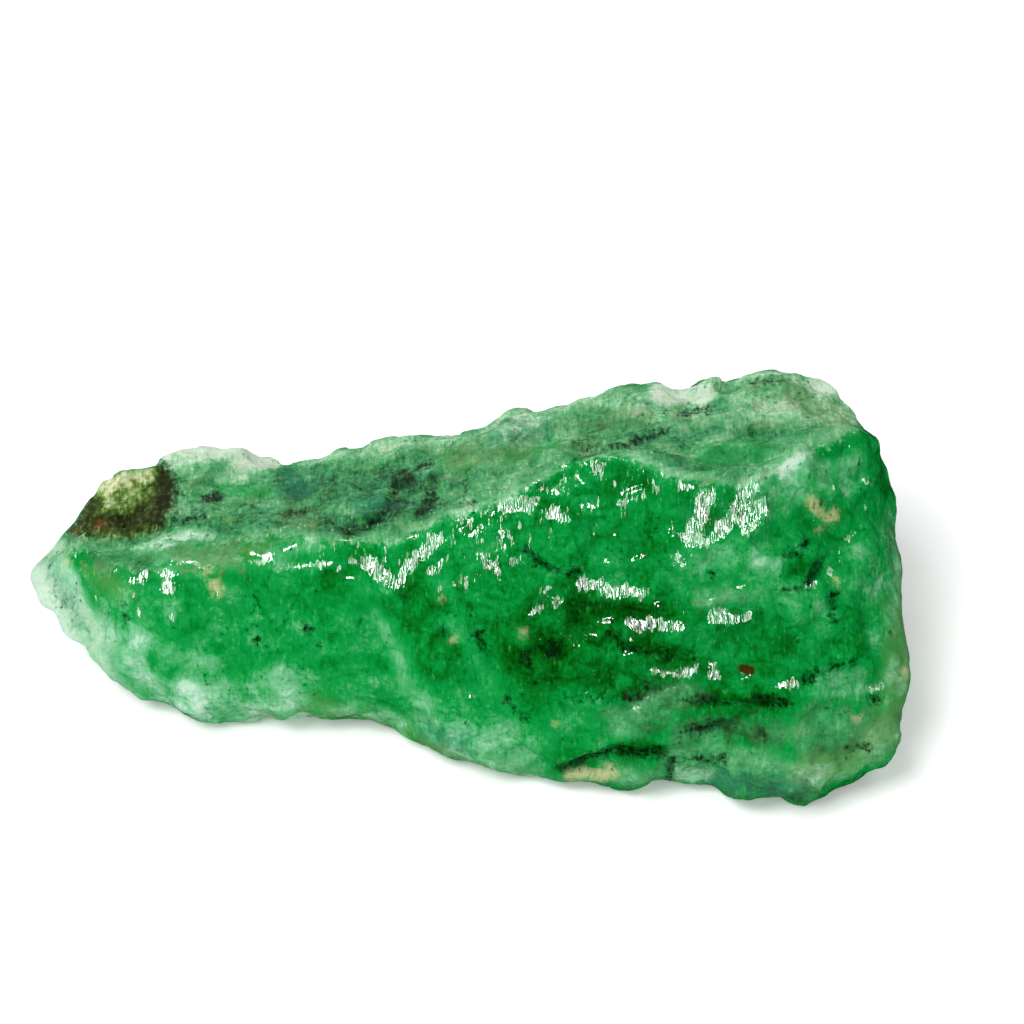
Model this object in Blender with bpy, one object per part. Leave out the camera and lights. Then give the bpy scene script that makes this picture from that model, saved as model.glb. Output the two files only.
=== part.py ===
"""Raw fluorite: one rough, elongated lump of green fluorite that rests on its broken underside.

The lump is one solid. It is lofted along X between design lines that run from the narrow tip to the
broad broken end, then chipped along flat breaks and shell-like scoops, roughened with flakes, and
levelled underneath. Design values are in millimetres. +Z is up, -Y is the glossy front, +Y is the
weathered back, and the finished lump is moved so that the origin is under the middle of its box, on
the surface that it rests on.
"""

import bisect

import bmesh
import bpy
from mathutils import Vector, noise

MM = 0.001

NODE = "raw_fluorite"
GREEN = (0.02, 0.32, 0.10, 1.0)
STONE_ROUGHNESS = 0.35

# Design lines, each a list of (x, y, z) from the narrow tip to the broad end.
# The crest: the sharp edge between the glossy front and the weathered top.
CREST = (
    (-41.9, 7.2, 6.5), (-40.3, 7.4, 8.5), (-38.6, 7.4, 10.0), (-34.6, 4.2, 12.2), (-30.1, 2.2, 13.4),
    (-26.3, 1.2, 14.4), (-21.6, 0.9, 15.3), (-16.1, 0.7, 16.4), (-11.6, 0.4, 17.2), (-6.2, 0.0, 18.6),
    (-2.6, 0.2, 20.3), (1.0, 0.6, 22.2), (4.5, 0.7, 23.8), (7.2, 2.1, 24.8), (10.7, 2.2, 25.8),
    (14.0, 2.6, 26.4), (16.9, 0.5, 26.4), (19.3, -0.5, 26.2), (21.8, -1.0, 26.2), (24.8, -0.1, 26.2),
    (28.9, 2.6, 25.8), (33.5, 6.5, 25.2), (35.5, 7.6, 24.2), (37.2, 8.2, 21.4), (39.4, 7.6, 14.0),
)
# The brow: where the front turns from a gentle slope under the crest to its steep face.
BROW = (
    (-41.9, 7.0, 6.2), (-38.6, 3.4, 8.8), (-35.4, 0.4, 10.4), (-32.0, -1.2, 11.6), (-27.6, -1.2, 12.6),
    (-21.6, -1.4, 13.4), (-15.2, -1.6, 14.6), (-7.9, -3.2, 15.4), (-4.3, -4.0, 16.4), (1.0, -3.6, 19.2),
    (8.0, -2.2, 21.8), (15.0, -1.8, 23.0), (19.2, -4.6, 22.0), (24.5, -3.6, 22.8), (29.9, -0.1, 23.2),
    (34.9, 4.5, 22.2), (37.8, 6.6, 18.4), (39.5, 6.4, 12.6),
)
# The belly: the fullest line of the steep front.
BELLY = (
    (-41.9, 6.8, 5.9), (-38.4, 1.8, 7.4), (-35.2, -1.7, 7.8), (-31.6, -4.2, 8.0), (-28.0, -5.6, 8.0),
    (-21.4, -6.6, 7.6), (-14.4, -6.6, 8.6), (-7.1, -8.0, 8.4), (-1.7, -10.4, 9.2), (5.2, -12.2, 8.6),
    (13.9, -13.0, 10.4), (21.0, -13.2, 9.4), (28.0, -13.8, 10.4), (33.4, -12.8, 10.2), (37.3, -10.6, 9.6),
    (39.4, -6.6, 9.6),
)
# The toe: the lowest line of the front that shows, a little above the ground.
TOE = (
    (-42.0, 7.3, 5.8), (-40.0, 4.2, 5.5), (-38.0, 1.2, 5.2), (-35.8, -1.0, 4.9), (-33.6, -3.2, 4.5),
    (-31.4, -4.8, 4.2), (-29.0, -5.6, 4.0), (-26.0, -7.3, 3.6), (-22.4, -8.1, 3.2), (-18.5, -7.8, 3.0),
    (-14.9, -7.0, 3.0), (-11.2, -7.3, 2.9), (-7.5, -7.6, 2.9), (-5.6, -9.2, 2.7), (-2.0, -11.2, 2.7),
    (1.7, -12.7, 2.7), (5.3, -13.3, 2.8), (8.8, -14.6, 2.5), (12.6, -15.0, 2.5), (15.2, -14.9, 2.8),
    (17.9, -14.4, 3.6), (20.6, -14.8, 3.2), (22.6, -15.4, 2.8), (24.8, -16.8, 2.5), (28.5, -17.4, 2.6),
    (31.2, -15.8, 3.4), (33.7, -14.7, 3.6), (35.6, -14.5, 3.6), (37.8, -14.4, 3.8), (39.2, -12.6, 4.6),
    (39.4, -8.8, 7.0),
)
# The heel: where the front meets the ground.
HEEL = (
    (-41.8, 7.8, 5.2), (-38.0, 4.6, 2.6), (-34.0, 1.4, 0.8), (-29.0, -1.0, -0.6), (-22.0, -2.6, -0.8),
    (-12.0, -1.8, -0.8), (-2.0, -5.6, -0.8), (8.0, -9.6, -0.8), (16.0, -10.0, -0.8), (22.0, -9.6, -0.8),
    (29.0, -11.8, -0.8), (36.0, -10.4, -0.2), (39.2, -7.2, 2.6),
)
# The back heel: where the back meets the ground.
BACK_HEEL = (
    (-41.8, 8.2, 5.2), (-38.0, 9.4, 2.8), (-34.0, 10.8, 0.8), (-28.0, 12.4, -0.6), (-12.0, 13.0, -0.8),
    (4.0, 12.6, -0.8), (18.0, 13.8, -0.8), (30.0, 13.2, -0.8), (36.0, 10.0, -0.2), (39.2, 6.0, 2.6),
)
# The back: the fullest line of the hidden side.
BACK = (
    (-41.9, 8.2, 6.4), (-38.6, 11.4, 6.2), (-34.0, 15.4, 6.6), (-26.0, 18.0, 6.8), (-16.4, 17.4, 6.4),
    (-6.0, 17.8, 7.4), (4.0, 17.4, 8.4), (14.4, 18.4, 9.2), (26.0, 19.0, 10.0), (33.0, 17.6, 9.6),
    (36.6, 13.8, 9.0), (39.4, 8.0, 8.0),
)
# The shoulder: the far edge of the weathered top, with its lumps and its notch.
SHOULDER = (
    (-41.9, 7.9, 6.8), (-40.2, 9.0, 8.0), (-38.6, 10.4, 8.8), (-37.0, 12.0, 9.2), (-35.6, 14.0, 10.9),
    (-34.3, 14.9, 12.0), (-32.4, 15.1, 11.8), (-30.9, 15.5, 12.4), (-29.0, 16.8, 13.7), (-27.1, 17.2, 14.2),
    (-24.6, 17.6, 14.0), (-21.7, 17.4, 13.8), (-20.1, 16.6, 13.0), (-17.6, 15.6, 12.4), (-14.8, 15.6, 12.4),
    (-13.0, 16.8, 13.8), (-10.7, 16.9, 14.6), (-8.0, 17.0, 14.9), (-6.2, 16.7, 14.8), (-3.0, 16.3, 15.8),
    (0.4, 15.8, 16.8), (1.7, 16.8, 18.3), (5.3, 16.5, 18.9), (8.2, 15.8, 19.3), (10.0, 15.7, 19.6),
    (11.2, 16.3, 20.4), (15.2, 16.6, 21.7), (17.6, 16.9, 22.3), (19.2, 16.0, 21.4), (20.6, 16.6, 21.6),
    (23.0, 17.4, 22.4), (26.4, 17.6, 22.4), (29.7, 17.7, 22.2), (31.6, 17.9, 22.0), (33.2, 17.4, 20.9),
    (35.0, 15.8, 19.2), (36.9, 14.2, 17.2), (38.2, 12.4, 15.8), (39.4, 8.4, 12.6),
)
# The hollow: the shallow trough along the weathered top, between shoulder and crest.
HOLLOW = (
    (-41.9, 7.6, 6.8), (-38.3, 8.9, 9.4), (-33.6, 9.1, 11.6), (-25.7, 9.8, 12.9), (-15.9, 9.8, 13.7),
    (-6.3, 9.8, 15.9), (1.0, 8.8, 18.9), (8.2, 9.8, 21.3), (15.5, 9.4, 23.0), (22.5, 9.8, 23.3),
    (29.4, 11.4, 23.5), (33.8, 12.8, 22.6), (36.4, 12.6, 19.8), (39.4, 8.0, 13.4),
)
# Each design line with the number of rows of faces from it to the next, round the lump.
ROWS = (
    (CREST, 4), (BROW, 9), (BELLY, 6), (TOE, 4), (HEEL, 11), (BACK_HEEL, 6), (BACK, 8),
    (SHOULDER, 6), (HOLLOW, 6),
)
STATION_STEP = 0.85

# Breaks: flat cleaved faces, each a point on its plane and the direction that it faces.
BREAKS = {
    "tip facet": ((-38.0, 1.6, 5.2), (-0.72, -0.56, 0.40)),
    "upper end": ((38.8, 9.0, 17.0), (0.90, 0.12, 0.42)),
    "lower end": ((40.0, -9.0, 5.0), (0.88, -0.42, -0.20)),
    "back of the end": ((35.8, 14.8, 9.0), (0.68, 0.72, -0.12)),
    "back of the tip": ((-34.6, 14.6, 6.0), (-0.52, 0.78, -0.36)),
    "foot of the back": ((14.0, 16.4, 3.6), (0.06, 0.78, -0.62)),
    "middle of the back": ((-12.0, 16.8, 6.0), (-0.12, 0.97, -0.22)),
    "broad back": ((22.0, 17.8, 14.0), (0.02, 0.98, -0.14)),
}
# Scoops: shell-like hollows broken out of the surface, each an ellipsoid's centre and its radii.
SCOOPS = {
    "behind the crest": ((25.6, 7.4, 28.0), (9.0, 5.6, 4.6)),
    "back of the broad end": ((27.0, 24.0, 11.0), (10.0, 6.8, 7.0)),
    "back of the middle": ((-4.0, 22.4, 8.0), (9.0, 6.4, 6.0)),
    "broken end": ((44.6, -1.0, 6.6), (5.8, 6.0, 5.0)),
}

# The size of the faces of the even skin that the breaks are made in, and how often it is smoothed.
SKIN_STEP = 0.42
SMOOTHING_ROUNDS = 3
SMOOTHING = 0.5
# Shell-shaped flakes all over the broken surface: how wide they are and how deep, and the share of
# that depth on the smoother front.
FLAKE_SIZE = 7.5
FLAKE_DEPTH = 0.9
FRONT_SHARE = 0.35
# Relief of the broken surface: (size of its bumps, their height).
RELIEF = ((5.6, 0.34), (2.4, 0.16), (1.3, 0.08))
SEED = Vector((3.1, 7.7, 1.9))

# About how many triangles the skin keeps, where the shape needs them, before it is levelled.
TRIANGLES = 8200


def along(line, x):
    """The design line's point at x, on straight runs between its own points."""
    stations = [point[0] for point in line]
    after = min(max(bisect.bisect_left(stations, x), 1), len(line) - 1)
    low, high = Vector(line[after - 1]), Vector(line[after])
    share = min(max((x - low.x) / (high.x - low.x), 0.0), 1.0)
    return low.lerp(high, share)


def rounded(before, here, after, beyond, share):
    """A point on the smooth curve through four points, between the two in the middle."""
    return 0.5 * (
        2 * here
        + (after - before) * share
        + (2 * before - 5 * here + 4 * after - beyond) * share**2
        + (3 * here - before - 3 * after + beyond) * share**3
    )


def ring_at(x):
    """The lump's outline across X at x: smooth through the design lines, with the crest a sharp corner."""
    corners = [along(line, x) for line, _ in ROWS]
    corners = corners[:1] + corners + corners[:1] * 2
    ring = []
    for index, (_, rows) in enumerate(ROWS):
        ring += [rounded(*corners[index:index + 4], step / rows) for step in range(rows)]
    return ring


def lofted_lump():
    """A closed skin through the rings from the tip to the broad end."""
    start, end = TOE[0][0], TOE[-1][0]
    count = round((end - start) / STATION_STEP)
    mesh = bmesh.new()
    rings = []
    for station in range(count + 1):
        x = start + (end - start) * station / count
        rings.append([mesh.verts.new(point) for point in ring_at(x)])
    for low, high in zip(rings, rings[1:]):
        for index in range(len(low)):
            after = (index + 1) % len(low)
            mesh.faces.new((low[index], low[after], high[after], high[index]))
    mesh.faces.new(rings[0])
    mesh.faces.new(reversed(rings[-1]))
    bmesh.ops.recalc_face_normals(mesh, faces=mesh.faces)
    return mesh


def with_modifier(mesh, kind, **settings):
    """The mesh as one modifier leaves it."""
    data = bpy.data.meshes.new("lump")
    mesh.to_mesh(data)
    mesh.free()
    holder = bpy.data.objects.new("lump", data)
    bpy.context.collection.objects.link(holder)
    modifier = holder.modifiers.new(kind, kind)
    for name, value in settings.items():
        setattr(modifier, name, value)
    graph = bpy.context.evaluated_depsgraph_get()
    changed = bmesh.new()
    changed.from_mesh(holder.evaluated_get(graph).to_mesh())
    bpy.data.objects.remove(holder)
    return changed


def even_skin(mesh):
    """The same lump in small faces of one size, with nothing folded over."""
    return with_modifier(mesh, "REMESH", mode="VOXEL", voxel_size=SKIN_STEP)


def soften(mesh):
    """Rounds the skin a little, so that the design lines don't show as creases."""
    for _ in range(SMOOTHING_ROUNDS):
        bmesh.ops.smooth_vert(
            mesh, verts=mesh.verts, factor=SMOOTHING, use_axis_x=True, use_axis_y=True, use_axis_z=True
        )


def flatten_breaks(mesh):
    """Presses everything beyond each break's plane back onto the plane."""
    for point, facing in BREAKS.values():
        normal = Vector(facing).normalized()
        for vertex in mesh.verts:
            beyond = (vertex.co - Vector(point)).dot(normal)
            if beyond > 0:
                vertex.co -= normal * beyond


def break_scoops(mesh):
    """Presses what lies inside each scoop's ellipsoid out onto the ellipsoid."""
    for centre, radii in SCOOPS.values():
        for vertex in mesh.verts:
            place = Vector(away / radius for away, radius in zip(vertex.co - Vector(centre), radii))
            if 0 < place.length < 1:
                place.normalize()
                vertex.co = Vector(centre) + Vector(part * radius for part, radius in zip(place, radii))


def flake_height(point, normal):
    """How a flake shifts the surface: inwards in the middle of its shell, outwards at its rim."""
    nearest, second = noise.voronoi(point / FLAKE_SIZE + SEED)[0][:2]
    hollow = min((second - nearest) * 2, 1.0)
    share = FRONT_SHARE if normal.y < 0 < normal.z else 1.0
    return FLAKE_DEPTH * share * (0.5 - hollow)


def roughen(mesh):
    """Pushes the skin in and out along its normals, by flakes and by bumps of a few sizes."""
    mesh.normal_update()
    moves = []
    for vertex in mesh.verts:
        bumps = sum(depth * noise.noise(vertex.co / size + SEED) for size, depth in RELIEF)
        moves.append(vertex.normal * (bumps + flake_height(vertex.co, vertex.normal)))
    for vertex, move in zip(mesh.verts, moves):
        vertex.co += move


def level_base(mesh):
    """Cuts the underside off level at the ground, which leaves the face that the lump rests on."""
    cut = bmesh.ops.bisect_plane(
        mesh,
        geom=mesh.verts[:] + mesh.edges[:] + mesh.faces[:],
        plane_co=(0, 0, 0),
        plane_no=(0, 0, -1),
        clear_outer=True,
    )
    rim = [item for item in cut["geom_cut"] if isinstance(item, bmesh.types.BMEdge)]
    bmesh.ops.edgeloop_fill(mesh, edges=rim)
    bmesh.ops.recalc_face_normals(mesh, faces=mesh.faces)


def centred(mesh):
    """Moves the lump so that the middle of its box is over the origin, and makes it metres."""
    xs = [vertex.co.x for vertex in mesh.verts]
    ys = [vertex.co.y for vertex in mesh.verts]
    middle = Vector(((min(xs) + max(xs)) / 2, (min(ys) + max(ys)) / 2, 0))
    for vertex in mesh.verts:
        vertex.co = (vertex.co - middle) * MM
    return middle


def stone_material():
    """Plain green stone, for the solid's own views."""
    material = bpy.data.materials.new("green fluorite")
    material.use_nodes = True
    shader = material.node_tree.nodes["Principled BSDF"]
    shader.inputs["Base Color"].default_value = GREEN
    shader.inputs["Roughness"].default_value = STONE_ROUGHNESS
    return material


def main():
    for startup_object in list(bpy.data.objects):
        bpy.data.objects.remove(startup_object)
    lump = even_skin(lofted_lump())
    soften(lump)
    flatten_breaks(lump)
    break_scoops(lump)
    lump = even_skin(lump)
    roughen(lump)
    bmesh.ops.triangulate(lump, faces=lump.faces)
    lump = with_modifier(lump, "DECIMATE", ratio=TRIANGLES / len(lump.faces))
    level_base(lump)
    middle = centred(lump)
    data = bpy.data.meshes.new(NODE)
    lump.to_mesh(data)
    lump.free()
    data.materials.append(stone_material())
    bpy.context.collection.objects.link(bpy.data.objects.new(NODE, data))
    print("the design lines' own origin is at", tuple(round(value, 3) for value in middle))


main()
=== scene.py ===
"""The looks of one rough lump of green fluorite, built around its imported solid.

The lump is one piece of stone. `Lump` skins the solid afresh in small even faces, softens it and works
its surface over: reliefs, facets, shelves that catch the lamp, ledges and seams. `Marks` says where each
colour lies, `FluoriteFinish` is the material that draws them, and `Studio` is the table, the lamps and
the camera.

Sizes are in millimetres unless they say otherwise. Places on the front are given on the looking plane,
which faces the camera: `across` runs along +X and `up` runs up the slope, along +Y and +Z alike.
"""

import logging
import math
from dataclasses import dataclass
from enum import Enum
from typing import Any

import bpy
import numpy as np
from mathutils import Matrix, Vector
from mathutils.kdtree import KDTree


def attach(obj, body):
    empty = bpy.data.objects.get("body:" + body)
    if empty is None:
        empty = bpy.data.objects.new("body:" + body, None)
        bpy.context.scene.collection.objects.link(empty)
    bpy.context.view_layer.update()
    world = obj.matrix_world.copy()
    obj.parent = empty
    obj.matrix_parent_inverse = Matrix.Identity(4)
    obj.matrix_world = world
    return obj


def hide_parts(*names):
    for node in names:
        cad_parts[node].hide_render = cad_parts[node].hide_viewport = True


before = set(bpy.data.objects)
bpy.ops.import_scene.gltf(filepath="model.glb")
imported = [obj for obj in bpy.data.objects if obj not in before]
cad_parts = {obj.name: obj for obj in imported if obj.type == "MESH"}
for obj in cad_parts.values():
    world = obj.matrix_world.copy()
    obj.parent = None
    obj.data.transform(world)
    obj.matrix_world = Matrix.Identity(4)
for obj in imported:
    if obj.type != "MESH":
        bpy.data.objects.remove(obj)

log = logging.getLogger("fluorite")

MM = 0.001
NODE = "raw_fluorite"
PIECE = "fluorite_lump"
BODY = "root"

Point = tuple[float, float]
Place = tuple[float, float, float]
Colour = tuple[int, int, int]
Ramp = tuple[tuple[float, Colour], ...]
Piece = bpy.types.Object
Socket = bpy.types.NodeSocket
Array = np.ndarray

# The looking plane: along the stone, up the slope, and out towards the camera.
ACROSS = np.array((1.0, 0.0, 0.0))
UP = np.array((0.0, 1.0, 1.0)) / math.sqrt(2)
OUT = np.array((0.0, -1.0, 1.0)) / math.sqrt(2)


def rise(values: Array, low: float, high: float) -> Array:
    """Goes smoothly from 0 at `low` to 1 at `high`, which may be the smaller of the two."""
    share = np.clip((values - low) / (high - low), 0.0, 1.0)
    return share * share * (3 - 2 * share)


# Marks on the looking plane


@dataclass(frozen=True)
class Line:
    """A mark on the front: its reach to each side and a run of points on the looking plane."""

    reach: float
    points: tuple[Point, ...]

    def nearest(self, flat: Array) -> tuple[Array, Array]:
        """Finds the closest place of the line to each given place.

        Args:
            flat: places on the looking plane, one row each.

        Returns:
            How far each place is from the line, and the line's closest place to it.
        """
        points = np.array(self.points, float)
        best = np.full(len(flat), np.inf)
        closest = np.zeros_like(flat)
        for start, end in zip(points, points[1:] if len(points) > 1 else points):
            run = end - start
            share = np.clip((flat - start) @ run / max(run @ run, 1e-9), 0.0, 1.0)
            place = start + share[:, None] * run
            away = np.linalg.norm(flat - place, axis=1)
            nearer = away < best
            best[nearer], closest[nearer] = away[nearer], place[nearer]
        return best, closest

    def beyond(self, flat: Array) -> Array:
        """How far each place lies outside the mark's reach, below 0 inside it."""
        return self.nearest(flat)[0] - self.reach


@dataclass(frozen=True)
class Patch:
    """A mark with an outline: the points of a closed shape on the looking plane."""

    points: tuple[Point, ...]

    def beyond(self, flat: Array) -> Array:
        """How far each place lies outside the outline, below 0 inside it.

        Args:
            flat: places on the looking plane, one row each.

        Returns:
            One distance for each place.
        """
        ring = self.points + self.points[:1]
        away = Line(0.0, ring).nearest(flat)[0]
        inside = np.zeros(len(flat), bool)
        for (x0, y0), (x1, y1) in zip(ring, ring[1:]):
            if y0 != y1:
                crosses = (flat[:, 1] < y0) != (flat[:, 1] < y1)
                inside ^= crosses & (flat[:, 0] < x0 + (flat[:, 1] - y0) * (x1 - x0) / (y1 - y0))
        return np.where(inside, -away, away)


@dataclass(frozen=True)
class Zone:
    """A soft patch that is paler or darker than what lies around it.

    Most zones are milky or clear stone; a few are painted shade in the recesses under the ledges, and a few
    painted glow along thin edges. `level` is how pale it is, from 0, deep and clear, to 1, milky, and
    `fade` is how far it melts into the stone around its reach. `core` is how far inside its reach, as a
    share of that, it is whole.
    """

    line: Line
    fade: float
    level: float
    core: float = 0.3

    def lay(self, milkiness_and_painted_light: Array, flat: Array, shown: Array) -> Array:
        """Lays the zone over the paleness so far, as far as each vertex is `shown`, and gives it."""
        share = rise(self.line.beyond(flat), self.fade, -self.core * self.line.reach) * shown
        return milkiness_and_painted_light + (self.level - milkiness_and_painted_light) * share


Lines = tuple[Line, ...]
Zones = tuple[Zone, ...]


def make_lines(*rows: tuple) -> Lines:
    """Makes lines of rows that each hold a reach and then the line's points."""
    return tuple(Line(reach, tuple(points)) for reach, *points in rows)


def make_zones(*rows: tuple) -> Zones:
    """Makes zones of rows that each hold a reach, a fade, a level and then the zone's points."""
    return tuple(Zone(Line(reach, tuple(points)), fade, level) for reach, fade, level, *points in rows)


class Layer(Enum):
    """The marks that the material draws, each by its name as a vertex attribute."""

    CLOUD, CREST, FRONT, TONE = "cloud", "crest", "front", "tone"
    SEAM, VEIN, DULL, FRESH, TIP = "seam", "vein", "dull", "fresh", "tip"
    TEAL, OLIVE, CREAM, RUST, EMBER = "teal", "olive", "cream", "rust", "ember"
    CRUST, CRUST_TONE, SHINE, GLINT = "crust", "crust tone", "shine", "glint"


@dataclass(frozen=True)
class Marks:
    """Where every mark lies on the front of the lump.

    A row is a line: its reach, then its points. A zone's row has its fade and its level after the reach.
    """

    # The crest: the pale edge between the glossy front and the weathered top.
    crest: tuple[Point, ...] = (
        (-41.5, 10.6), (-39.3, 10.6), (-36, 11.5), (-32.3, 11.3), (-28.5, 12.2), (-24.3, 13), (-21.5, 12.2),
        (-17, 13), (-11.6, 12.5), (-5.2, 12.7), (-1.6, 14.3), (3.7, 16), (6.4, 17.3), (8.2, 18.6),
        (10, 19.7), (12.6, 20.1), (15, 20), (17.1, 19), (19, 18), (24.4, 17.2), (26.7, 18), (31.2, 20.4),
        (34.9, 22.3), (37.3, 23.2), (42, 24),
    )
    # Dark seams and cracks, first those of the weathered top, then those of the front.
    seam: Lines = make_lines(
        (0.3, (-10, 13.1), (-8, 13.8), (-6.7, 15), (-6.1, 16.6), (-5.2, 18.5), (-2.8, 19.4)),
        (0.3, (-3.3, 15), (-2.5, 15.9), (-2.5, 17.5)),
        (0.22, (10.7, 21.4), (11.1, 20.4), (13.4, 20.8), (15.1, 20.9), (17.3, 21.9), (18.7, 22.4)),
        (0.3, (20.3, 23.7), (21.5, 24), (22.7, 24.3)), (0.12, (27, 26.7), (28.5, 27.1), (29.9, 27)),
        (0.4, (-23.9, 16.1), (-22.7, 16.3)), (0.28, (-26.5, 14.3), (-23.8, 14.6)),
        (0.25, (-15.8, 14.9), (-14.3, 15.1)), (0.25, (0.5, 16.2), (1.2, 15.7)),
        (0.2, (6.1, 11.6), (7.4, 10.5), (9.4, 9.6), (10.6, 9.8)), (0.22, (28.8, 11), (29.6, 11.4)),
        (0.22, (30, 11.4), (30.5, 12.4)), (0.34, (30.7, 8.8), (31.2, 9.4), (31.8, 10.2)),
        (0.1, (28.4, 8.2), (30, 8.3)), (0.12, (32.9, 7.9), (33, 6.6), (33, 5.4)),
        (0.16, (13.3, 4.4), (14.1, 3.3), (15.8, 2.9), (18.1, 2.8), (20.7, 2.7)),
        (0.12, (19, -1.4), (22, -1.5), (23.9, -1.7), (25.6, -1.6), (27.8, -1.9), (28.9, -1.7)),
        (0.36, (26.4, -1.5), (28.3, -1.8)), (0.36, (20.6, -4.2), (21.9, -3.9), (23.1, -3.5)),
        (0.25, (30.4, 0.3), (31.2, 0.5)), (0.08, (31.5, 1), (33.1, 1.4), (34.7, 1.8)),
        (0.2, (34.5, -6), (35.3, -5.8), (36.2, -5.6)), (0.22, (36.7, -1.6), (37.3, -1.6)),
        (0.2, (18.9, -7.2), (19, -8.7)), (0.08, (5.8, 2.4), (6.3, 1.2), (6.6, 0.1)),
        (0.09, (9.9, -1.4), (13, -1.4), (16, -1.3)), (0.18, (4.4, -1.8), (5.1, -2.5), (5.9, -3.3)),
        (0.28, (9.2, -8), (11.5, -6.7), (14.4, -5.9), (16.1, -6.5), (17.8, -6)),
        (0.2, (21.2, -6.8), (22.5, -7), (23.7, -6.7)), (0.18, (-1.6, 4.7), (-0.9, 4.2)),
        (0.2, (1.8, 4.2), (2.5, 2.8)), (0.15, (-5.2, 7.9), (-4.6, 7.2)), (0.12, (16.4, -0.5), (17.8, -0.6)),
        (0.3, (-13.7, 4.6)), (0.22, (-18.2, 3.4)), (0.12, (-12.4, 3.1)), (0.14, (-30.2, 5.4)),
        (0.1, (-30.3, 6.6)), (0.14, (22.2, 9.5)), (0.12, (30, 3.8)),
    )
    # Pale wisps inside the stone.
    vein: Lines = make_lines(
        (0.35, (-8.9, 8.6), (-7.9, 6.8), (-6.9, 5.2), (-5.9, 3.5), (-5.3, 2.2), (-4.9, 0.3), (-4.9, -1.5),
        (-2.5, -2.7)),
        (0.15, (-2, 5.7), (-0.7, 5), (0.6, 3.4), (1.8, 1.6), (2.8, 0.2), (3.6, -1.2), (5, -3.2)),
        (0.3, (-18.3, 10.7), (-14.2, 11.7), (-10.6, 12)),
        (0.4, (24.4, 22.4), (26.4, 23.1), (28.5, 23.6), (30.5, 23.6)),
        (0.3, (29.4, 21.1), (31.6, 21.5), (33.4, 21.5), (34.3, 22.7)),
        (0.12, (14.8, 20), (17.7, 18.7), (20.6, 18.2), (24.4, 17.6), (26.7, 18.2), (31.4, 20.2)),
    )
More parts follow.
